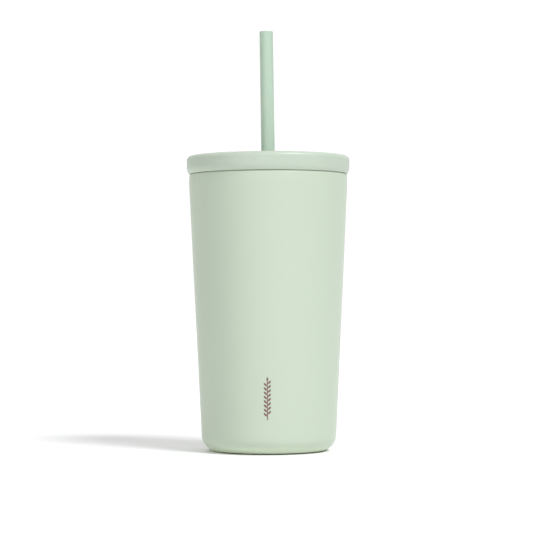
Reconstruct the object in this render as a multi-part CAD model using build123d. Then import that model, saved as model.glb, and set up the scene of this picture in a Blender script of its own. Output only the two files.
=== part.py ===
"""An insulated cold cup with a push-on lid and a drinking straw.

The cup is a double-walled steel vessel with a vacuum between its walls. The lid is a
hollow two-piece moulding that carries a sealing ring and a grommet for the straw.
Millimetres, +Z up. The origin is the centre of the foot, on the surface the cup stands on.
"""

import os
from math import cos, radians, sin, tan

from build123d import *

# ---- Driving dimensions ------------------------------------------------------------
LID_RADIUS = 42.0
LID_TOP = 152.0
SEAM_HEIGHT = 142.72            # lower edge of the lid's skirt
RIM_TOP = 149.7                 # highest point of the steel rim

WALL_TAPER = tan(radians(2.73))
WALL_RADIUS_AT_BASE = 34.316    # outer wall, carried down to the surface it stands on
SHELL_GAUGE = 0.5               # outer wall's sheet
LINER_GAUGE = 0.4               # inner wall's sheet
FOOT_STANDOFF = 0.6             # the steel stops this far above the surface

NECK_RADIUS = 39.3              # outside of the neck that the skirt slides over
MOUTH_RADIUS = 36.9             # inside of the mouth
FLOOR_HEIGHT = 10.5             # drinking side of the liner's floor
LINER_WELD = 14.0               # height of the seam between the liner's wall and its heel
FLOOR_RADIUS = 26.8             # the seam between the liner's heel and its floor

STRAW_RADIUS = 3.5
STRAW_BORE = 2.8
STRAW_TIP = 216.6               # height of the straw's upper end
STRAW_LEAN = 0.65               # degrees from upright, towards -X
STRAW_FLOOR_GAP = 0.3

# ---- Values worked out from them ---------------------------------------------------
LID_UNDERSIDE = RIM_TOP + 0.3
BOSS_TOP = LID_UNDERSIDE + 1.35             # floor of the recess round the grommet
STRAW_PIVOT = (LID_UNDERSIDE + BOSS_TOP) / 2
FLOOR_STEP = 0.6                            # the liner's floor is raised at its middle
PEDESTAL = FLOOR_HEIGHT + FLOOR_STEP


def shell_radius(height):
    """Radius of the outer wall's painted face."""
    return WALL_RADIUS_AT_BASE + WALL_TAPER * height


def liner_radius(height):
    """Radius of the inner wall's drinking face."""
    return MOUTH_RADIUS - WALL_TAPER * (RIM_TOP - height)


def turned(*corners):
    """A solid of revolution. Each corner of its section is (radius, height, rounding)."""
    points = [(r, z) for r, z, _ in corners]
    roundings = [rounding for _, _, rounding in corners]
    outline = FilletPolyline(*points, radius=roundings, close=True)
    return revolve(Plane.XZ * make_face(outline), Axis.Z)


def pressed(gauge, side, *corners):
    """A round sheet-metal pressing. The corners (radius, height, bend) follow one face,
    and the other face lies one gauge to the side given."""
    points = [(r, z) for r, z, _ in corners]
    if len(points) == 2:
        face = Line(*points)
    else:
        face = FilletPolyline(*points, radius=[bend for _, _, bend in corners[1:-1]])
    section = make_face(offset(face, amount=gauge, side=side, closed=True))
    return revolve(Plane.XZ * section, Axis.Z)


def drill(solid, radius, x, y, low, high):
    """The solid with an upright round hole."""
    return solid - Pos(x, y, (low + high) / 2) * Cylinder(radius, high - low)


# ---- Cup: double-walled vessel -----------------------------------------------------
LIP_RADIUS = 28.2               # inward face of the outer wall's curled lower edge
LIP_TOP = 2.6
HEEL_RADIUS = 8.3               # large rounding between wall and foot
HEEL_END = radians(67.0)        # direction of the heel's lower end, from upright
CURL = 0.8                      # rounding of the curled edge
SHOULDER = SEAM_HEIGHT - 0.15   # step under the lid's skirt


def outer_shell():
    # The heel runs down to a short straight, which the curled edge continues.
    curl_low = FOOT_STANDOFF + CURL
    corner_drop = CURL * tan((radians(180) - HEEL_END) / 2)
    curl_corner = curl_low - corner_drop
    run = (shell_radius(curl_corner) - LIP_RADIUS) / (sin(HEEL_END) - WALL_TAPER * cos(HEEL_END))
    heel_r = LIP_RADIUS + run * sin(HEEL_END)
    heel_z = curl_corner + run * cos(HEEL_END)
    waist = SHOULDER - 4.3
    return pressed(
        SHELL_GAUGE,
        Side.LEFT,
        (LIP_RADIUS, LIP_TOP, 0),
        (LIP_RADIUS, curl_corner, CURL),
        (heel_r, heel_z, HEEL_RADIUS),
        (shell_radius(waist), waist, 40.0),
        (shell_radius(waist) - 0.2, SHOULDER, 0.9),
        (NECK_RADIUS, SHOULDER, 0.45),
        (NECK_RADIUS, RIM_TOP - 1.2, 0),
    )


def liner_wall():
    roll = 1.15
    return pressed(
        LINER_GAUGE,
        Side.RIGHT,
        (liner_radius(LINER_WELD), LINER_WELD, 0),
        (MOUTH_RADIUS, RIM_TOP, roll),
        (NECK_RADIUS, RIM_TOP, roll),
        (NECK_RADIUS, RIM_TOP - 1.2, 0),
    )


def liner_heel():
    return pressed(
        LINER_GAUGE,
        Side.RIGHT,
        (FLOOR_RADIUS, FLOOR_HEIGHT, 0),
        (liner_radius(FLOOR_HEIGHT), FLOOR_HEIGHT, 3.2),
        (liner_radius(LINER_WELD), LINER_WELD, 0),
    )


def liner_bottom():
    return pressed(
        LINER_GAUGE,
        Side.RIGHT,
        (0, PEDESTAL, 0),
        (13.2, PEDESTAL, 1.5),
        (14.6, FLOOR_HEIGHT, 1.5),
        (FLOOR_RADIUS, FLOOR_HEIGHT, 0),
    )


def copper_foil():
    clear, low, high = 0.12, 20.0, 138.0
    return pressed(
        0.1,
        Side.RIGHT,
        (liner_radius(low) + LINER_GAUGE + clear, low, 0),
        (liner_radius(high) + LINER_GAUGE + clear, high, 0),
    )


VACUUM_PLATE = 4.9              # underside of the plate that closes the vacuum
DIMPLE = 6.3                    # underside of its raised middle
PORT_RADIUS = 1.2               # hole that the air is drawn out through
BOTTOM_GAUGE = 0.5


def vacuum_bottom():
    flange = LIP_RADIUS - BOTTOM_GAUGE
    return pressed(
        BOTTOM_GAUGE,
        Side.LEFT,
        (PORT_RADIUS, DIMPLE, 0),
        (3.6, DIMPLE, 0.8),
        (5.2, VACUUM_PLATE, 0.8),
        (flange, VACUUM_PLATE, 1.5),
        (flange, 1.2, 0),
    )


def evacuation_seal():
    bead = 2.4
    return turned(
        (0, DIMPLE + BOTTOM_GAUGE, 0),
        (0, DIMPLE - 0.8, 0),
        (bead, DIMPLE - 0.8, 0.7),
        (bead, DIMPLE, 0),
        (PORT_RADIUS, DIMPLE, 0),
        (PORT_RADIUS, DIMPLE + BOTTOM_GAUGE, 0),
    )


GETTER_X = 15.0
GETTER_RADIUS = 4.5
GETTER_HEIGHT = 2.2
PLATE_TOP = VACUUM_PLATE + BOTTOM_GAUGE


def getter():
    pill = turned(
        (0, 0, 0),
        (GETTER_RADIUS, 0, 0.3),
        (GETTER_RADIUS, GETTER_HEIGHT, 0.5),
        (0, GETTER_HEIGHT, 0),
    )
    return Pos(GETTER_X, 0, PLATE_TOP) * pill


def getter_bracket():
    strip, width, reach = 0.3, 3.0, 8.5
    leg = GETTER_RADIUS + 0.6
    top = PLATE_TOP + GETTER_HEIGHT + strip
    foot = PLATE_TOP + strip
    path = FilletPolyline(
        (-reach, foot), (-leg, foot), (-leg, top), (leg, top), (leg, foot), (reach, foot),
        radius=[0.35, 0.7, 0.7, 0.35],
    )
    section = make_face(offset(path, amount=strip, side=Side.RIGHT, closed=True))
    return Pos(GETTER_X, 0, 0) * extrude(Plane.XZ * section, width / 2, both=True)


COVER_FACE = 1.9                # underside of the steel plate that the foot pad is stuck to


def bottom_cover():
    edge = LIP_RADIUS - BOTTOM_GAUGE - 0.05
    return pressed(
        0.4,
        Side.LEFT,
        (0, COVER_FACE, 0),
        (edge, COVER_FACE, 0.8),
        (edge, COVER_FACE + 1.4, 0),
    )


def foot_pad():
    radius, dish = 26.2, 12.0
    return turned(
        (0, 0.5, 0),
        (dish, 0.5, 0.25),
        (dish + 0.5, 0, 0.4),
        (radius, 0, 0.5),
        (radius, COVER_FACE, 0.1),
        (0, COVER_FACE, 0),
    )


# ---- Lid: hollow two-piece moulding ------------------------------------------------
GROMMET_HOLE = 5.1
RECESS_RADIUS = 8.0             # shallow recess round the grommet
SKIRT_BORE = NECK_RADIUS + 0.35
VENT_Y = 21.0                   # the vent lies behind the straw
VENT_RADIUS = 0.8

PLUG_FLOOR = 139.8
PLUG_BORE = 32.0
RING_OUTER, RING_INNER = 21.7, 20.3         # stiffening wall between the plug's rim and boss
BOSS_RADIUS = 9.2               # tube round the straw, outside and inside
BOSS_BORE = 7.6
GROOVE_RADIUS = 33.9
GROOVE_LOW, GROOVE_HIGH = 142.3, 145.3


def lid_cover():
    under = LID_UNDERSIDE
    cover = turned(
        (GROMMET_HOLE, under, 0.25),
        (GROMMET_HOLE, BOSS_TOP, 0.25),
        (RECESS_RADIUS, BOSS_TOP, 0.3),
        (RECESS_RADIUS, LID_TOP, 0.3),
        (LID_RADIUS, LID_TOP, 2.3),
        (LID_RADIUS, 144.5, 6.6),
        (LID_RADIUS - 1.0, SEAM_HEIGHT, 0.2),
        (SKIRT_BORE, SEAM_HEIGHT, 0.3),
        (SKIRT_BORE, under, 1.2),
        (PLUG_BORE - 0.2, under, 0.2),
        (PLUG_BORE - 0.2, under - 1.4, 0.3),
        (PLUG_BORE - 1.3, under - 1.4, 0.3),
        (PLUG_BORE - 1.3, under, 0.2),
        (BOSS_RADIUS + 1.4, under, 0.2),
        (BOSS_RADIUS + 1.4, under - 1.2, 0.3),
        (BOSS_RADIUS + 0.4, under - 1.2, 0.3),
        (BOSS_RADIUS + 0.4, under, 0.2),
    )
    cover = drill(cover, VENT_RADIUS, 0, VENT_Y, under - 1, LID_TOP + 1)
    countersink = Pos(0, VENT_Y, LID_TOP - 0.25) * Cone(VENT_RADIUS, VENT_RADIUS + 0.5, 0.5)
    return cover - countersink


def lid_plug():
    top, floor = LID_UNDERSIDE, PLUG_FLOOR + 1.6
    plug = turned(
        (BOSS_BORE, PLUG_FLOOR, 0.4),
        (35.3, PLUG_FLOOR, 1.4),
        (35.6, GROOVE_LOW, 0.2),
        (GROOVE_RADIUS, GROOVE_LOW, 0.2),
        (GROOVE_RADIUS, GROOVE_HIGH, 0.2),
        (35.75, GROOVE_HIGH, 0.2),
        (35.9, top, 0.2),
        (PLUG_BORE, top, 0.2),
        (PLUG_BORE, floor, 1.5),
        (RING_OUTER, floor, 0.8),
        (RING_OUTER, top, 0.2),
        (RING_INNER, top, 0.2),
        (RING_INNER, floor, 0.8),
        (BOSS_RADIUS, floor, 1.0),
        (BOSS_RADIUS, top, 0.2),
        (BOSS_BORE, top, 0.2),
    )
    tube_low = PLUG_FLOOR + 0.8
    plug += Pos(0, VENT_Y, (tube_low + top) / 2) * Cylinder(2.4, top - tube_low)
    return drill(plug, VENT_RADIUS, 0, VENT_Y, PLUG_FLOOR - 1, top + 1)


def lid_gasket():
    inner, back, tip = GROOVE_RADIUS + 0.1, 35.3, 36.5
    low, high = GROOVE_LOW + 0.2, GROOVE_HIGH - 0.2
    corners = [(inner, low, 0.2), (back, low, 0.2)]
    for root in (GROOVE_LOW + 0.55, GROOVE_LOW + 1.7):
        reach = tip + WALL_TAPER * (root - GROOVE_LOW)
        corners += [
            (back, root, 0.1),
            (reach, root + 0.5, 0.1),
            (reach, root + 0.8, 0.1),
            (back, root + 0.6, 0.1),
        ]
    corners += [(back, high, 0.1), (inner, high, 0.2)]
    return turned(*corners)


# ---- Grommet and straw, drawn about the point that the straw rocks on --------------
def leaning(solid):
    """The solid moved from the frame's origin to the grommet, with the straw's lean."""
    return Pos(0, 0, STRAW_PIVOT) * Rot(0, -STRAW_LEAN, 0) * solid


def straw_grommet():
    half = (BOSS_TOP - LID_UNDERSIDE) / 2
    bore, flare, neck = STRAW_RADIUS + 0.06, 4.1, GROMMET_HOLE - 0.3
    upper, lower = 7.0, 6.4
    return leaning(turned(
        (bore, -1.3, 0.3),
        (flare, -2.4, 0.2),
        (lower - 0.8, -2.0, 0.3),
        (lower, -half - 0.8, 0.15),
        (lower, -half - 0.4, 0.1),
        (neck, -half - 0.28, 0.15),
        (neck, half + 0.28, 0.15),
        (upper, half + 0.43, 0.1),
        (upper, half + 0.95, 0.3),
        (flare, 2.35, 0.3),
        (bore, 1.4, 0.3),
    ))


STOPPER_RADIUS = 4.4            # moulded ring that keeps the straw in the lid
STOPPER_HEIGHT = 40.0           # from the straw's lower end to the ring's lower flank


def straw():
    low = PEDESTAL + STRAW_FLOOR_GAP - STRAW_PIVOT
    high = (STRAW_TIP - STRAW_PIVOT) / cos(radians(STRAW_LEAN))
    ring = low + STOPPER_HEIGHT
    return leaning(turned(
        (STRAW_BORE, low, 0.2),
        (STRAW_RADIUS, low, 0.3),
        (STRAW_RADIUS, ring - 1.0, 0.4),
        (STOPPER_RADIUS, ring, 0.4),
        (STOPPER_RADIUS, ring + 1.0, 0.4),
        (STRAW_RADIUS, ring + 2.0, 0.4),
        (STRAW_RADIUS, high, 0.3),
        (STRAW_BORE, high, 0.2),
    ))


PIECES = [
    outer_shell, liner_wall, liner_heel, liner_bottom, copper_foil,
    vacuum_bottom, evacuation_seal, getter, getter_bracket, bottom_cover, foot_pad,
    lid_cover, lid_plug, lid_gasket, straw_grommet, straw,
]

os.makedirs("parts", exist_ok=True)
for piece in PIECES:
    export_step(piece(), f"parts/{piece.__name__}.step")
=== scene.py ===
"""The looks of an insulated tumbler: a powder-coated steel cup, a push-on lid and a straw.

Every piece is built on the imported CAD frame. Sizes are written in millimetres, as on a
drawing, and turned into metres where a mesh is made.
"""

from math import ceil, cos, degrees, pi, radians, sin, tan

import bmesh
import bpy
from mathutils import Matrix, Vector


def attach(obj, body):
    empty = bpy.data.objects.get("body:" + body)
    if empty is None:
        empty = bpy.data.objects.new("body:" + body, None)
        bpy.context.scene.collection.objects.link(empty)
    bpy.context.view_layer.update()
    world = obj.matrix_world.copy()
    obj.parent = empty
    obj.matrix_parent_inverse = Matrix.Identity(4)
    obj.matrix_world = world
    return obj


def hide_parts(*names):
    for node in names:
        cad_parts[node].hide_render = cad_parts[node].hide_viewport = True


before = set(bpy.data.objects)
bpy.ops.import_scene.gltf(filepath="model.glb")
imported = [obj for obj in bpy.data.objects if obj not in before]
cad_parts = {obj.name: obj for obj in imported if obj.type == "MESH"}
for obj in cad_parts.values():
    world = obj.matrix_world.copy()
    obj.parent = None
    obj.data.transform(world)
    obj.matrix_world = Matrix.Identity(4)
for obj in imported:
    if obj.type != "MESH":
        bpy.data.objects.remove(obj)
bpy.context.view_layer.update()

# ---- Sizes, in millimetres -----------------------------------------------------------
MM = 0.001                      # a millimetre, in metres

TAPER = tan(radians(2.73))      # slope of the cup's two walls
BASE_RADIUS = 34.316            # outer wall, carried down to the surface the cup stands on
SEAM = 142.72                   # lower edge of the lid's skirt
SHOULDER = SEAM - 0.15          # step in the outer wall under the skirt
MASK_LINE = 143.9               # the powder coat ends here, under the skirt
RIM = 149.7                     # highest point of the steel rim
ROLL_END = RIM - 1.2            # the rolled rim comes down to the outer wall here
NECK_RADIUS = 39.3              # outside of the neck that the skirt slides over
MOUTH_RADIUS = 36.9             # inside of the mouth
SHELL_GAUGE = 0.5               # outer wall's sheet
LINER_GAUGE = 0.4               # inner wall's sheet
WELD = 14.0                     # height of the seam between the liner's wall and its heel
FLOOR_SEAM = 26.8               # radius of the seam between the heel and the floor
FLOOR = 10.5                    # drinking side of the liner's floor
PEDESTAL = FLOOR + 0.6          # the floor's raised middle
LIP_RADIUS = 28.2               # inward face of the outer wall's curled lower edge
LIP_TOP = 2.6                   # the curled edge stands up inside the foot to here
STANDOFF = 0.6                  # the steel stops this far above the surface
PLATE_FACE = 1.9                # underside of the steel plate that the foot pad is stuck to

LID_RADIUS = 42.0
LID_TOP = 152.0
UNDERSIDE = RIM + 0.3           # underside of the lid's cover
RECESS_FLOOR = UNDERSIDE + 1.35
RECESS_RADIUS = 8.0             # shallow recess round the grommet
GROMMET_HOLE = 5.1
SKIRT_BORE = NECK_RADIUS + 0.35
PLUG_LOW = 139.8                # underside of the plug
PLUG_FLOOR = PLUG_LOW + 1.6
PLUG_BORE = 32.0
RING_OUTER, RING_INNER = 21.7, 20.3         # stiffening wall between the plug's rim and boss
BOSS_RADIUS, BOSS_BORE = 9.2, 7.6           # tube round the straw, outside and inside
GROOVE_RADIUS = 33.9            # bottom of the seal's groove
GROOVE_LOW, GROOVE_HIGH = 142.3, 145.3
VENT_Y = 21.0                   # the vent lies behind the straw
VENT_RADIUS = 0.8

STRAW_RADIUS, STRAW_BORE = 3.5, 2.8
STRAW_LOW = PEDESTAL + 0.3
STRAW_TIP = 216.6
STRAW_LEAN = 0.65               # degrees from upright, towards -X
PIVOT = (UNDERSIDE + RECESS_FLOOR) / 2      # the straw rocks about this height
LEANING = Matrix.Translation((0, 0, PIVOT * MM)) @ Matrix.Rotation(radians(-STRAW_LEAN), 4, "Y")


def shell_radius(z):
    """Radius of the outer wall's painted face."""
    return BASE_RADIUS + TAPER * z


def liner_radius(z):
    """Radius of the inner wall's drinking face."""
    return MOUTH_RADIUS - TAPER * (RIM - z)


# ---- Outlines ------------------------------------------------------------------------
ARC_STEP = 9.0                  # degrees per step in a rounding
SUPPORT = 0.08                  # loops this near a rounding keep the flats flat


def arc_points(before, corner, after, radius):
    """Points of the rounding of one corner, from tangent point to tangent point."""
    here = Vector(corner)
    back = (Vector(before) - here).normalized()
    ahead = (Vector(after) - here).normalized()
    opening = back.angle(ahead)
    reach = radius / tan(opening / 2)
    centre = here + (back + ahead).normalized() * (radius / sin(opening / 2))
    start = here + back * reach - centre
    end = here + ahead * reach - centre
    turn = start.angle_signed(end)
    steps = max(3, ceil(degrees(abs(turn)) / ARC_STEP))
    points = []
    for step in range(steps + 1):
        angle = -turn * step / steps
        points.append((
            centre.x + start.x * cos(angle) - start.y * sin(angle),
            centre.y + start.x * sin(angle) + start.y * cos(angle),
        ))
    return points


def support_points(start, end):
    """Two points on a straight, one near each end, if it is long enough."""
    a, b = Vector(start), Vector(end)
    length = (b - a).length
    if length < 4 * SUPPORT:
        return []
    along = (b - a) / length
    return [tuple(a + along * SUPPORT), tuple(b - along * SUPPORT)]


def outline(corners, closed=True):
    """Corners (radius, height, rounding) as a list of (radius, height) points."""
    count = len(corners)
    runs = []
    for i, (r, z, rounding) in enumerate(corners):
        is_end = not closed and i in (0, count - 1)
        if rounding > 0 and not is_end:
            before = corners[i - 1][:2]
            after = corners[(i + 1) % count][:2]
            runs.append(arc_points(before, (r, z), after, rounding))
        else:
            runs.append([(r, z)])
    points = []
    for i, run in enumerate(runs):
        points += run
        if closed or i < count - 1:
            points += support_points(run[-1], runs[(i + 1) % count][0])
    return points


def sheet_outline(corners, gauge):
    """The outline of bent sheet metal. The corners follow one face, and the other face
    lies one gauge to the left of it, or to the right if the gauge is negative."""
    face = [Vector(p) for p in outline(corners, closed=False)]
    other = []
    for i, point in enumerate(face):
        before = face[max(i - 1, 0)]
        after = face[min(i + 1, len(face) - 1)]
        along = (after - before).normalized()
        other.append(point + Vector((-along.y, along.x)) * gauge)
    return [tuple(p) for p in face] + [tuple(p) for p in reversed(other)]


# ---- Meshes --------------------------------------------------------------------------
SEGMENTS = 192                  # steps round a large piece
SMALL_SEGMENTS = 96             # steps round the straw and its grommet
SHARP = radians(35.0)           # an edge that turns by more than this is shaded sharp


def finish_mesh(name, work):
    """A new object of the bmesh, shaded smooth but for its sharp edges."""
    bmesh.ops.recalc_face_normals(work, faces=work.faces)
    for face in work.faces:
        face.smooth = True
    for edge in work.edges:
        edge.smooth = len(edge.link_faces) == 2 and edge.calc_face_angle() < SHARP
    mesh = bpy.data.meshes.new(name)
    work.to_mesh(mesh)
    work.free()
    piece = bpy.data.objects.new(name, mesh)
    bpy.context.scene.collection.objects.link(piece)
    return piece


def lathe(name, points, segments=SEGMENTS, place=None):
    """A closed outline of (radius, height) points in millimetres, turned about the Z axis."""
    work = bmesh.new()
    angles = [2 * pi * k / segments for k in range(segments)]
    rings = []
    for r, z in points:
        ring_angles = angles if r > 1e-6 else [0.0]         # a point on the axis is one vertex
        rings.append([work.verts.new((r * MM * cos(a), r * MM * sin(a), z * MM)) for a in ring_angles])
    for i, ring in enumerate(rings):
        following = rings[(i + 1) % len(rings)]
        if len(ring) == 1 and len(following) == 1:
            continue
        for k in range(segments):
            k2 = (k + 1) % segments
            if len(ring) == 1:
                work.faces.new((ring[0], following[k2], following[k]))
            elif len(following) == 1:
                work.faces.new((ring[k], ring[k2], following[0]))
            else:
                work.faces.new((ring[k], ring[k2], following[k2], following[k]))
    if place is not None:
        bmesh.ops.transform(work, matrix=place, verts=work.verts)
    return finish_mesh(name, work)


def cut(piece, cutter):
    """The piece with the cutter's shape taken out of it."""
    modifier = piece.modifiers.new("cut", "BOOLEAN")
    modifier.operation = "DIFFERENCE"
    modifier.solver = "EXACT"
    modifier.object = cutter
    bpy.context.view_layer.update()
    shape = piece.evaluated_get(bpy.context.evaluated_depsgraph_get())
    work = bmesh.new()
    work.from_mesh(bpy.data.meshes.new_from_object(shape))
    bmesh.ops.remove_doubles(work, verts=work.verts, dist=1e-7)
    name = piece.name
    bpy.data.objects.remove(cutter)
    bpy.data.objects.remove(piece)
    return finish_mesh(name, work)


def drill(piece, x, y, stations):
    """The piece with an upright round hole, given as (radius, height) points from its low end up."""
    points = [(0, stations[0][1])] + stations + [(0, stations[-1][1])]
    cutter = lathe("drill", points, segments=32, place=Matrix.Translation((x * MM, y * MM, 0)))
    return cut(piece, cutter)


def dress(piece, material, body, slot, *nodes):
    """Gives a piece its material, the body it rides on and the CAD nodes it stands for."""
    piece.data.materials.clear()
    piece.data.materials.append(material)
    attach(piece, body)
    if nodes:
        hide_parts(*nodes)
    return piece


# ---- Materials -----------------------------------------------------------------------
SAGE = (0.440, 0.510, 0.412)
LID_SAGE = (0.420, 0.487, 0.407)
MINT = (0.388, 0.500, 0.404)
STEEL = (0.78, 0.77, 0.75)
MILKY = (0.47, 0.52, 0.47)
# Painted shade: the foot pad takes the near-black green of the shadowed gap under the foot.
GAP_SHADE_GREEN = (0.045, 0.055, 0.042)
RED_BROWN = (0.165, 0.080, 0.073)

NOISE_LOW, NOISE_HIGH = 0.3, 0.7            # nearly all of a noise's values lie between these


def shade(colour, factor):
    """The colour made darker or lighter."""
    return tuple(channel * factor for channel in colour)


def add_node(tree, kind, inputs=(), **settings):
    """A new node. Each input takes a value, or a link from another node's output."""
    made = tree.nodes.new(kind)
    for key, value in settings.items():
        setattr(made, key, value)
    for key, value in dict(inputs).items():
        if isinstance(value, bpy.types.NodeSocket):
            tree.links.new(value, made.inputs[key])
        else:
            made.inputs[key].default_value = value
    return made


class Finish:
    """A material whose nodes are placed by short calls. Uniform values are given at the start."""

    def __init__(self, name, **sockets):
        self.material = bpy.data.materials.new(name)
        self.material.use_nodes = True
        self.tree = self.material.node_tree
        self.shader = self.tree.nodes["Principled BSDF"]
        for socket, value in sockets.items():
            self.shader.inputs[socket.replace("_", " ")].default_value = value
        self.place = self.node("ShaderNodeTexCoord").outputs["Object"]
        self.normal = None

    def node(self, kind, inputs=(), **settings):
        return add_node(self.tree, kind, inputs, **settings)

    def math(self, operation, first, second=0.0):
        return self.node("ShaderNodeMath", {0: first, 1: second}, operation=operation).outputs[0]

    def stretched(self, x, y, z):
        """Coordinates scaled by a different amount along each axis."""
        return self.node("ShaderNodeMapping", {"Vector": self.place, "Scale": (x, y, z)}).outputs[0]

    def turned(self, around, outwards, along):
        """Coordinates round the Z axis: angle, radius and height, each scaled."""
        split = self.node("ShaderNodeSeparateXYZ", {0: self.place}).outputs
        angle = self.math("ARCTAN2", split["Y"], split["X"])
        x_squared = self.math("MULTIPLY", split["X"], split["X"])
        y_squared = self.math("MULTIPLY", split["Y"], split["Y"])
        radius = self.math("SQRT", self.math("ADD", x_squared, y_squared))
        return self.node("ShaderNodeCombineXYZ", {
            "X": self.math("MULTIPLY", angle, around),
            "Y": self.math("MULTIPLY", radius, outwards),
            "Z": self.math("MULTIPLY", split["Z"], along),
        }).outputs[0]

    def noise(self, scale, detail, vector=None, roughness=0.5):
        """A noise pattern, from 0 to 1. The scale counts its lumps per unit of the coordinates."""
        inputs = {"Vector": vector or self.place, "Scale": scale, "Detail": detail, "Roughness": roughness}
        return self.node("ShaderNodeTexNoise", inputs).outputs["Fac"]

    def spread(self, noise, low, high):
        """A noise's usual values, carried over to low to high."""
        return self.node("ShaderNodeMapRange", {
            "Value": noise,
            "From Min": NOISE_LOW,
            "From Max": NOISE_HIGH,
            "To Min": low,
            "To Max": high,
        }).outputs["Result"]

    def blend(self, factor, first, second):
        """From the first colour at 0 to the second at 1."""
        mix = self.node("ShaderNodeMix", {0: factor}, data_type="RGBA")
        for socket, colour in ((mix.inputs[6], first), (mix.inputs[7], second)):
            if isinstance(colour, bpy.types.NodeSocket):
                self.tree.links.new(colour, socket)
            else:
                socket.default_value = (*colour, 1.0)
        return mix.outputs[2]

    def bump(self, height, depth):
        """Adds relief: depth in millimetres for a height from 0 to 1."""
        inputs = {"Height": height, "Distance": depth * MM, "Strength": 1.0}
        if self.normal:
            inputs["Normal"] = self.normal
        self.normal = self.node("ShaderNodeBump", inputs).outputs["Normal"]

    def finish(self, colour, roughness=None):
        """Links the colour, the roughness and any relief to the shader."""
        for socket, value in (("Base Color", colour), ("Roughness", roughness), ("Normal", self.normal)):
            if value is not None:
                self.tree.links.new(value, self.shader.inputs[socket])
        return self.material


def powder_coat():
    """Sprayed and baked powder: a low orange peel under a fine, even grain."""
    f = Finish("powder_coat_sage", IOR=1.5, Sheen_Weight=0.2, Sheen_Roughness=0.35)
    peel = f.noise(520, 2.0)
    grain = f.noise(2600, 3.0, roughness=0.6)
    drift = f.noise(22, 2.0)
    f.bump(peel, 0.016)
    f.bump(grain, 0.018)
    speck = f.blend(f.spread(grain, 0.0, 1.0), shade(SAGE, 0.965), shade(SAGE, 1.03))
    tone = f.blend(f.spread(drift, 0.0, 0.35), speck, shade(SAGE, 0.985))
    return f.finish(tone, f.spread(grain, 0.44, 0.54))


def lid_plastic():
    """Injection-moulded polypropylene from a finely spark-eroded tool."""
    f = Finish("lid_polypropylene_sage", IOR=1.49, Subsurface_Weight=0.06, Subsurface_Scale=0.002)
    texture = f.noise(3800, 2.0)
    flow = f.noise(9, 3.0, vector=f.turned(0.6, 60.0, 60.0))
    f.bump(texture, 0.006)
    f.bump(flow, 0.010)
    tone = f.blend(f.spread(flow, 0.0, 1.0), shade(LID_SAGE, 0.985), shade(LID_SAGE, 1.015))
    return f.finish(tone, f.spread(texture, 0.34, 0.42))


def straw_plastic():
    """Extruded polypropylene with faint drawing lines along its length."""
    f = Finish("straw_polypropylene_mint", IOR=1.49, Subsurface_Weight=0.12, Subsurface_Scale=0.002)
    lines = f.noise(1.0, 2.0, vector=f.stretched(2400, 2400, 25))
    f.bump(lines, 0.004)
    tone = f.blend(f.spread(lines, 0.0, 1.0), shade(MINT, 0.975), shade(MINT, 1.02))
    return f.finish(tone, f.spread(lines, 0.44, 0.54))


def turned_steel(name, base=STEEL, rough=(0.30, 0.42), fineness=5200):
    """Stainless steel with the fine lines that spinning and brushing leave round it, under broad darker bands
    of painted reflection streaks.
    """
    f = Finish(name, Metallic=0.92, Anisotropic=0.45)
    lines = f.noise(1.0, 3.0, vector=f.turned(3.0, fineness, fineness), roughness=0.7)
    reflection_bands = f.noise(1.0, 2.0, vector=f.turned(0.4, 160, 160))
    f.bump(lines, 0.004)
    tone = f.blend(f.spread(lines, 0.0, 1.0), shade(base, 0.90), shade(base, 1.06))
    # Painted reflection: broad darker bands stand in for the streaks that reflections leave in the steel.
    tone = f.blend(f.spread(reflection_bands, 0.0, 0.7), tone, shade(base, 0.80))
    return f.finish(tone, f.spread(lines, *rough))


def silicone(name, colour):
    """Moulded silicone: soft-looking, slightly see-through, with a trace of dust bloom."""
    f = Finish(name, IOR=1.43, Subsurface_Weight=0.25, Subsurface_Scale=0.0015)
    fine = f.noise(1800, 2.0)
    bloom = f.noise(120, 3.0)
    f.bump(fine, 0.006)
    tone = f.blend(f.spread(bloom, 0.0, 1.0), shade(colour, 0.97), shade(colour, 1.03))
    return f.finish(tone, f.spread(bloom, 0.42, 0.55))


def print_ink():
    """Pad-printed ink, a little uneven where the coat's grain took less of it."""
    f = Finish("pad_print_ink", IOR=1.47)
    grain = f.noise(2600, 3.0, roughness=0.6)
    f.bump(grain, 0.010)
    tone = f.blend(f.spread(grain, 0.0, 1.0), shade(RED_BROWN, 0.86), shade(RED_BROWN, 1.16))
    return f.finish(tone, f.spread(grain, 0.42, 0.56))


def uneven_metal(name, pattern, relief, dark, light, rough):
    """Metal with one noise pattern, given as scale, detail and roughness, in all it shows."""
    f = Finish(name, Metallic=1.0)
    scale, detail, roughness = pattern
    noise = f.noise(scale, detail, roughness=roughness)
    f.bump(noise, relief)
    return f.finish(f.blend(f.spread(noise, 0.0, 1.0), dark, light), f.spread(noise, *rough))


def metal_powder():
    """The getter's pressed powder."""
    dark, light = (0.06, 0.06, 0.065), (0.15, 0.15, 0.155)
    return uneven_metal("getter_pressed_powder", (3000, 4.0, 0.5), 0.03, dark, light, (0.45, 0.7))


def copper_sheet():
    """Thin copper foil, creased as it was wrapped."""
    dark, light = (0.62, 0.27, 0.16), (0.78, 0.40, 0.26)
    return uneven_metal("copper_foil_crinkled", (90, 5.0, 0.7), 0.12, dark, light, (0.16, 0.34))


def braze_metal():
    """The dull, rippled bead that seals the port."""
    dark, light = (0.22, 0.21, 0.20), (0.38, 0.37, 0.35)
    return uneven_metal("braze_bead_dull", (700, 3.0, 0.5), 0.05, dark, light, (0.35, 0.55))


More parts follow.
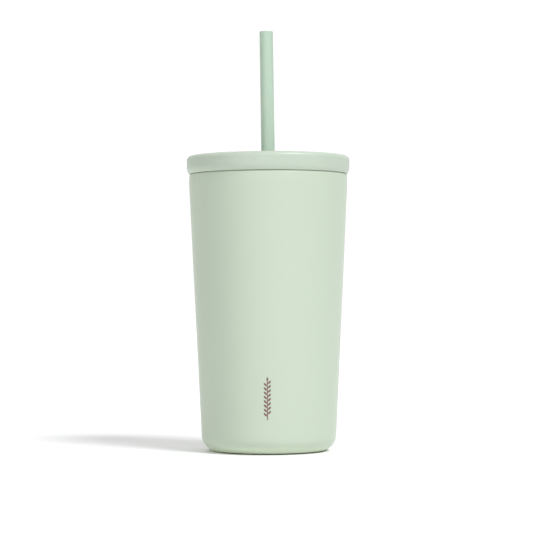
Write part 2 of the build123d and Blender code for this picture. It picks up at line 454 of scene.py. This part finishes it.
# ---- Cup -----------------------------------------------------------------------------
def make_shell():
    """The outer wall, from the curled edge at the foot, round the heel, up to the neck. The
    heel runs down to a short straight, at heel_end from upright, which the curled edge continues."""
    curl, heel, heel_end = 0.8, 8.3, radians(67.0)
    curl_corner = STANDOFF + curl - curl * tan((pi - heel_end) / 2)
    run = (shell_radius(curl_corner) - LIP_RADIUS) / (sin(heel_end) - TAPER * cos(heel_end))
    waist = SHOULDER - 4.3
    return lathe("cup_shell", sheet_outline([
        (LIP_RADIUS, LIP_TOP, 0),
        (LIP_RADIUS, curl_corner, curl),
        (LIP_RADIUS + run * sin(heel_end), curl_corner + run * cos(heel_end), heel),
        (shell_radius(waist), waist, 40.0),
        (shell_radius(waist) - 0.2, SHOULDER, 0.9),
        (NECK_RADIUS, SHOULDER, 0.45),
        (NECK_RADIUS, MASK_LINE, 0),
        (NECK_RADIUS, ROLL_END, 0),
    ], SHELL_GAUGE))


def bare_above(piece, height, steel):
    """Leaves the neck unpainted: faces above the height take the steel as a second material."""
    piece.data.materials.append(steel)
    for face in piece.data.polygons:
        if face.center.z > height * MM:
            face.material_index = 1


def make_liner_wall():
    """The inner wall, rolled over at the mouth to meet the outer wall."""
    roll = 1.15
    return lathe("cup_liner_wall", sheet_outline([
        (liner_radius(WELD), WELD, 0),
        (MOUTH_RADIUS, RIM, roll),
        (NECK_RADIUS, RIM, roll),
        (NECK_RADIUS, ROLL_END, 0),
    ], -LINER_GAUGE))


def make_liner_floor():
    """The liner's floor, raised at its middle."""
    bend = 1.5
    return lathe("cup_liner_floor", sheet_outline([
        (0, PEDESTAL, 0),
        (13.2, PEDESTAL, bend),
        (14.6, FLOOR, bend),
        (FLOOR_SEAM, FLOOR, 0),
    ], -LINER_GAUGE))


def make_liner_heel():
    """The rounded ring between the liner's floor and its wall."""
    return lathe("cup_liner_heel", sheet_outline([
        (FLOOR_SEAM, FLOOR, 0),
        (liner_radius(FLOOR), FLOOR, 3.2),
        (liner_radius(WELD), WELD, 0),
    ], -LINER_GAUGE))


def make_weld_bead():
    """The polished seam between the liner's wall and its heel."""
    r = liner_radius(WELD)
    return lathe("cup_liner_weld", outline([
        (r + 0.15, WELD - 0.4, 0),
        (r - 0.07, WELD - 0.25, 0.12),
        (r - 0.06, WELD + 0.25, 0.12),
        (r + 0.17, WELD + 0.4, 0),
    ]))


def make_floor_bead():
    """The polished seam between the liner's heel and its floor."""
    sunk, proud = FLOOR - 0.15, FLOOR + 0.06
    return lathe("cup_floor_weld", outline([
        (FLOOR_SEAM - 0.4, sunk, 0),
        (FLOOR_SEAM - 0.25, proud, 0.12),
        (FLOOR_SEAM + 0.25, proud, 0.12),
        (FLOOR_SEAM + 0.4, sunk, 0),
    ]))


def make_foot_plate():
    """The steel plate in the foot's recess."""
    edge = LIP_RADIUS - 0.55
    return lathe("foot_plate", sheet_outline([
        (0, PLATE_FACE, 0),
        (edge, PLATE_FACE, 0.8),
        (edge, PLATE_FACE + 1.4, 0),
    ], 0.4))


def make_foot_pad():
    """The pad. Its middle is hollowed, and grooves round its underside keep it from sliding."""
    radius, dish, dish_depth = 26.2, 12.0, 0.5
    grooves, first, pitch, depth, width, flank = 5, 15.0, 2.2, 0.35, 1.1, 0.25
    corners = [(0, dish_depth, 0), (dish, dish_depth, 0.25), (dish + 0.5, 0, 0.25)]
    for k in range(grooves):
        r = first + pitch * k
        corners += [
            (r, 0, 0.12),
            (r + flank, depth, 0.12),
            (r + width - flank, depth, 0.12),
            (r + width, 0, 0.12),
        ]
    corners += [(radius, 0, 0.5), (radius, PLATE_FACE, 0.1), (0, PLATE_FACE, 0)]
    return lathe("foot_pad_silicone", outline(corners))


# ---- Lid -----------------------------------------------------------------------------
def make_lid_cover():
    """The cover and its skirt, with two low rings below it that centre the plug."""
    rim_ring, boss_ring = PLUG_BORE - 0.2, BOSS_RADIUS + 0.4
    turn_in = 144.5             # below this height the skirt draws in towards the seam
    cover = lathe("lid_top", outline([
        (GROMMET_HOLE, UNDERSIDE, 0.25),
        (GROMMET_HOLE, RECESS_FLOOR, 0.25),
        (RECESS_RADIUS, RECESS_FLOOR, 0.3),
        (RECESS_RADIUS, LID_TOP, 0.3),
        (LID_RADIUS, LID_TOP, 2.3),
        (LID_RADIUS, turn_in, 6.6),
        (LID_RADIUS - 1.0, SEAM, 0.2),
        (SKIRT_BORE, SEAM, 0.3),
        (SKIRT_BORE, UNDERSIDE, 1.2),
        (rim_ring, UNDERSIDE, 0.2),
        (rim_ring, UNDERSIDE - 1.4, 0.3),
        (rim_ring - 1.1, UNDERSIDE - 1.4, 0.3),
        (rim_ring - 1.1, UNDERSIDE, 0.2),
        (boss_ring + 1.0, UNDERSIDE, 0.2),
        (boss_ring + 1.0, UNDERSIDE - 1.2, 0.3),
        (boss_ring, UNDERSIDE - 1.2, 0.3),
        (boss_ring, UNDERSIDE, 0.2),
    ]))
    return drill(cover, 0, VENT_Y, [
        (VENT_RADIUS, UNDERSIDE - 1),
        (VENT_RADIUS, LID_TOP - 0.5),
        (VENT_RADIUS + 0.5, LID_TOP),
        (VENT_RADIUS + 1.0, LID_TOP + 0.5),
    ])


def make_lid_plug():
    """The hollow plug that holds the seal, with the vent through its floor."""
    plug = lathe("lid_plug_body", outline([
        (BOSS_BORE, PLUG_LOW, 0.4),
        (35.3, PLUG_LOW, 1.4),
        (35.6, GROOVE_LOW, 0.2),
        (GROOVE_RADIUS, GROOVE_LOW, 0.2),
        (GROOVE_RADIUS, GROOVE_HIGH, 0.2),
        (35.75, GROOVE_HIGH, 0.2),
        (35.9, UNDERSIDE, 0.2),
        (PLUG_BORE, UNDERSIDE, 0.2),
        (PLUG_BORE, PLUG_FLOOR, 1.5),
        (RING_OUTER, PLUG_FLOOR, 0.8),
        (RING_OUTER, UNDERSIDE, 0.2),
        (RING_INNER, UNDERSIDE, 0.2),
        (RING_INNER, PLUG_FLOOR, 0.8),
        (BOSS_RADIUS, PLUG_FLOOR, 1.0),
        (BOSS_RADIUS, UNDERSIDE, 0.2),
        (BOSS_BORE, UNDERSIDE, 0.2),
    ]))
    plug = drill(plug, 0, VENT_Y, [
        (VENT_RADIUS + 0.5, PLUG_LOW - 0.5),
        (VENT_RADIUS, PLUG_LOW + 0.4),
        (VENT_RADIUS, UNDERSIDE + 1),
    ])
    pin_circle, pin_radius, mark_depth = 27.0, 2.0, 0.08
    for angle in (45, 135, 225, 315):       # marks of the pins that pushed it out of its mould
        x, y = pin_circle * cos(radians(angle)), pin_circle * sin(radians(angle))
        plug = drill(plug, x, y, [(pin_radius, PLUG_LOW - 0.5), (pin_radius, PLUG_LOW + mark_depth)])
    return plug


def make_vent_tube():
    """The tube that carries the vent through the lid's hollow."""
    outside, low = 2.4, PLUG_LOW + 0.8
    return lathe("lid_vent_tube", outline([
        (VENT_RADIUS, low, 0.1),
        (outside, low, 0.1),
        (outside, UNDERSIDE, 0.1),
        (VENT_RADIUS, UNDERSIDE, 0.1),
    ]), segments=48, place=Matrix.Translation((0, VENT_Y * MM, 0)))


def make_seal():
    """The sealing ring: a body in the groove and two thin blades that reach the cup's wall."""
    inner, back, tip = GROOVE_RADIUS + 0.1, 35.3, 36.5
    low, high = GROOVE_LOW + 0.2, GROOVE_HIGH - 0.2
    corners = [(inner, low, 0.2), (back, low, 0.2)]
    for root in (GROOVE_LOW + 0.55, GROOVE_LOW + 1.7):
        reach = tip + TAPER * (root - GROOVE_LOW)
        corners += [
            (back, root, 0.1),
            (reach, root + 0.5, 0.1),
            (reach, root + 0.8, 0.1),
            (back, root + 0.6, 0.1),
        ]
    corners += [(back, high, 0.1), (inner, high, 0.2)]
    return lathe("lid_seal_ring", outline(corners))


# ---- Grommet and straw, drawn about the point that the straw rocks on ----------------
def make_grommet():
    """The soft grommet, with a flange above and below the lid's cover."""
    half = (RECESS_FLOOR - UNDERSIDE) / 2
    bore, flare, neck = STRAW_RADIUS + 0.06, 4.1, GROMMET_HOLE - 0.3
    upper, lower = 7.0, 6.4
    return lathe("straw_seal", outline([
        (bore, -1.3, 0.3),
        (flare, -2.4, 0.2),
        (lower - 0.8, -2.0, 0.3),
        (lower, -half - 0.8, 0.15),
        (lower, -half - 0.4, 0.1),
        (neck, -half - 0.28, 0.15),
        (neck, half + 0.28, 0.15),
        (upper, half + 0.43, 0.1),
        (upper, half + 0.95, 0.3),
        (flare, 2.35, 0.3),
        (bore, 1.4, 0.3),
    ]), segments=SMALL_SEGMENTS, place=LEANING)


def make_straw():
    """The straw, with the moulded ring near its lower end that keeps it in the lid."""
    low = STRAW_LOW - PIVOT
    high = (STRAW_TIP - PIVOT) / cos(radians(STRAW_LEAN))
    ring_radius, ring = 4.4, low + 40.0
    return lathe("drinking_straw", outline([
        (STRAW_BORE, low, 0.2),
        (STRAW_RADIUS, low, 0.3),
        (STRAW_RADIUS, ring - 1.0, 0.4),
        (ring_radius, ring, 0.4),
        (ring_radius, ring + 1.0, 0.4),
        (STRAW_RADIUS, ring + 2.0, 0.4),
        (STRAW_RADIUS, high, 0.3),
        (STRAW_BORE, high, 0.2),
    ]), segments=SMALL_SEGMENTS, place=LEANING)


# ---- Print ---------------------------------------------------------------------------
PRINT_X = -0.8                  # middle of the print
PRINT_LOW, PRINT_HIGH = 17.9, 39.5
INK_OVER, INK_UNDER = 0.02, 0.015           # the film's faces, over and under the coat's


def on_wall(x, z, lift):
    """The point of the cup's front at x and z, in metres, lifted off the coat."""
    r = shell_radius(z) + lift
    return Vector((x, -(r * r - x * x) ** 0.5, z)) * MM


def add_film(work, rungs):
    """A closed film of ink on the wall. Each rung is a pair of (x, height) points across it."""
    under, over = [
        [[work.verts.new(on_wall(x, z, lift)) for x, z in rung] for rung in rungs]
        for lift in (-INK_UNDER, INK_OVER)
    ]
    for k in range(len(rungs) - 1):
        for side in (under, over):
            work.faces.new((side[k][0], side[k][1], side[k + 1][1], side[k + 1][0]))
        for edge in (0, 1):
            work.faces.new((under[k][edge], under[k + 1][edge], over[k + 1][edge], over[k][edge]))
    for end in (0, -1):
        work.faces.new((under[end][0], under[end][1], over[end][1], over[end][0]))


def add_leaf(work, x, z, length, direction):
    """A pointed oval that starts at (x, z) and grows at an angle above the horizontal."""
    width, steps = 1.0, 8
    along = Vector((cos(direction), sin(direction)))
    across = Vector((-along.y, along.x))
    rungs = []
    for step in range(steps + 1):
        t = 0.03 + 0.94 * step / steps          # not quite from end to end, where the leaf has no width
        half = across * (width / 2 * sin(pi * t) ** 0.8)
        centre = Vector((x, z)) + along * (length * t)
        rungs.append([tuple(centre - half), tuple(centre + half)])
    add_film(work, rungs)


def make_print():
    """A plain sprig, printed upright and low on the front: a stem with leaves on both sides."""
    leaf_length, pitch, lean = 2.35, 2.15, 48.0
    half_stem, stem_steps = 0.25, 24
    top = PRINT_HIGH - leaf_length
    work = bmesh.new()
    heights = [PRINT_LOW + (top - PRINT_LOW) * step / stem_steps for step in range(stem_steps + 1)]
    add_film(work, [[(PRINT_X - half_stem, z), (PRINT_X + half_stem, z)] for z in heights])
    add_leaf(work, PRINT_X, top - 0.1, leaf_length, pi / 2)
    pairs = int((top - PRINT_LOW - 2.0) / pitch)
    for k in range(pairs):
        z = top - 1.3 - pitch * k
        add_leaf(work, PRINT_X + half_stem, z, leaf_length, radians(lean))
        add_leaf(work, PRINT_X - half_stem, z - pitch / 2, leaf_length, radians(180 - lean))
    return finish_mesh("printed_sprig", work)


# ---- Assembly ------------------------------------------------------------------------
COAT = powder_coat()
LID = lid_plastic()
STRAW = straw_plastic()
INSIDE = turned_steel("liner_steel_brushed")
# Painted shade: the neck's steel is a darker copy of the liner's steel, to tone down the key lamp's glare on
# the neck. It is also rougher.
NECK_STEEL_SHADED = turned_steel("neck_steel_satin_shaded", base=shade(STEEL, 0.62), rough=(0.36, 0.48))
PLATE = turned_steel("foot_plate_steel", base=shade(STEEL, 0.85), fineness=2600)
CLEAR = silicone("seal_silicone_milky", MILKY)
PAD = silicone("foot_silicone_dark", GAP_SHADE_GREEN)

shell = dress(make_shell(), COAT, "cup", "painted_steel", "outer_shell")
bare_above(shell, MASK_LINE, NECK_STEEL_SHADED)
dress(make_liner_wall(), INSIDE, "cup", "bare_steel", "liner_wall")
dress(make_liner_floor(), INSIDE, "cup", "bare_steel", "liner_bottom")
dress(make_liner_heel(), INSIDE, "cup", "bare_steel", "liner_heel")
dress(make_weld_bead(), INSIDE, "cup", "bare_steel")
dress(make_floor_bead(), INSIDE, "cup", "bare_steel")
dress(make_foot_plate(), PLATE, "cup", "bare_steel", "bottom_cover")
dress(make_foot_pad(), PAD, "cup", "foot_silicone", "foot_pad")
dress(make_print(), print_ink(), "cup", "painted_steel")
dress(make_lid_cover(), LID, "lid", "lid_plastic", "lid_cover")
dress(make_lid_plug(), LID, "lid", "lid_plastic", "lid_plug")
dress(make_vent_tube(), LID, "lid", "lid_plastic")
dress(make_seal(), CLEAR, "lid_seal", "clear_silicone", "lid_gasket")
dress(make_grommet(), CLEAR, "grommet", "clear_silicone", "straw_grommet")
dress(make_straw(), STRAW, "straw", "straw_plastic", "straw")

# The pieces in the vacuum space keep their CAD shape.
INNER_NODES = {
    "copper_foil": copper_sheet(),
    "vacuum_bottom": PLATE,
    "evacuation_seal": braze_metal(),
    "getter": metal_powder(),
    "getter_bracket": PLATE,
}
for node_name, node_material in INNER_NODES.items():
    node_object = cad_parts[node_name]
    node_object.data.materials.clear()
    node_object.data.materials.append(node_material)


# ---- Studio, in metres and degrees ---------------------------------------------------
WHITE = (1.0, 1.0, 1.0)


def make_floor():
    """A wide floor of pale, matt paper."""
    work = bmesh.new()
    bmesh.ops.create_grid(work, x_segments=1, y_segments=1, size=6.0)
    floor = finish_mesh("studio_floor", work)
    f = Finish("studio_paper", Roughness=0.9, Specular_IOR_Level=0.1)
    pulp = f.noise(30, 2.0)
    floor.data.materials.append(f.finish(f.blend(pulp, shade(WHITE, 0.88), shade(WHITE, 0.90))))


def make_world():
    """White to the camera. As a light it is brightest above and behind, like a white sweep."""
    weight_back, weight_up = 0.8, 0.7           # how much each direction counts towards bright
    grade = {"From Min": 0.15, "From Max": 1.05, "To Min": 0.21, "To Max": 1.06}
    world = bpy.data.worlds.new("studio")
    world.use_nodes = True
    tree = world.node_tree
    tree.nodes.clear()
    way = add_node(tree, "ShaderNodeTexCoord").outputs["Generated"]
    split = add_node(tree, "ShaderNodeSeparateXYZ", {0: way}).outputs
    back = add_node(tree, "ShaderNodeMath", {0: split["Y"], 1: weight_back}, operation="MULTIPLY")
    terms = {0: split["Z"], 1: weight_up, 2: back.outputs[0]}
    grade["Value"] = add_node(tree, "ShaderNodeMath", terms, operation="MULTIPLY_ADD").outputs[0]
    strength = add_node(tree, "ShaderNodeMapRange", grade, interpolation_type="SMOOTHSTEP").outputs["Result"]
    lighting = add_node(tree, "ShaderNodeBackground", {"Color": (1.0, 1.0, 0.995, 1.0), "Strength": strength})
    seen = add_node(tree, "ShaderNodeBackground", {"Color": (*WHITE, 1.0), "Strength": 1.05})
    to_camera = add_node(tree, "ShaderNodeLightPath").outputs["Is Camera Ray"]
    mix = add_node(tree, "ShaderNodeMixShader", {0: to_camera, 1: lighting.outputs[0], 2: seen.outputs[0]})
    add_node(tree, "ShaderNodeOutputWorld", {"Surface": mix.outputs[0]})
    bpy.context.scene.world = world


def make_lamp(name, power, size, towards_camera, height, colour, casts_shadow=True):
    """A distant soft lamp. Size is how wide it looks, and the two angles place it, counted
    from +X towards the camera and up from the floor."""
    sun = bpy.data.lights.new(name, "SUN")
    sun.energy = power
    sun.angle = radians(size)
    sun.color = colour
    sun.use_shadow = casts_shadow
    lamp = bpy.data.objects.new(name, sun)
    turn, rise = radians(towards_camera), radians(height)
    towards = Vector((cos(turn) * cos(rise), -sin(turn) * cos(rise), sin(rise)))
    lamp.rotation_euler = towards.to_track_quat("Z", "Y").to_euler()
    lamp.location = towards
    bpy.context.scene.collection.objects.link(lamp)


def make_camera():
    """A long lens a metre in front of the cup, level with its middle."""
    camera_data = bpy.data.cameras.new("camera")
    camera_data.lens = 136.0
    camera_data.sensor_width = 36.0
    camera_data.clip_start = 0.05
    camera = bpy.data.objects.new("camera", camera_data)
    camera.location = (-0.0010, -1.040, 0.0803)
    pitch, roll = radians(90.81), radians(-0.19)
    camera.rotation_euler = (Matrix.Rotation(pitch, 3, "X") @ Matrix.Rotation(roll, 3, "Z")).to_euler()
    bpy.context.scene.collection.objects.link(camera)
    bpy.context.scene.camera = camera


make_floor()
make_world()
make_lamp("key", power=2.58, size=24.0, towards_camera=46.0, height=47.0, colour=(0.99, 1.0, 1.02))
make_lamp("front_fill", power=1.2, size=60.0, towards_camera=108.0, height=26.0, colour=WHITE)
make_lamp("table_bounce", power=1.1, size=90.0, towards_camera=90.0, height=-75.0,
          colour=(1.0, 1.0, 0.72), casts_shadow=False)
make_camera()
bpy.context.scene.view_settings.view_transform = "Standard"
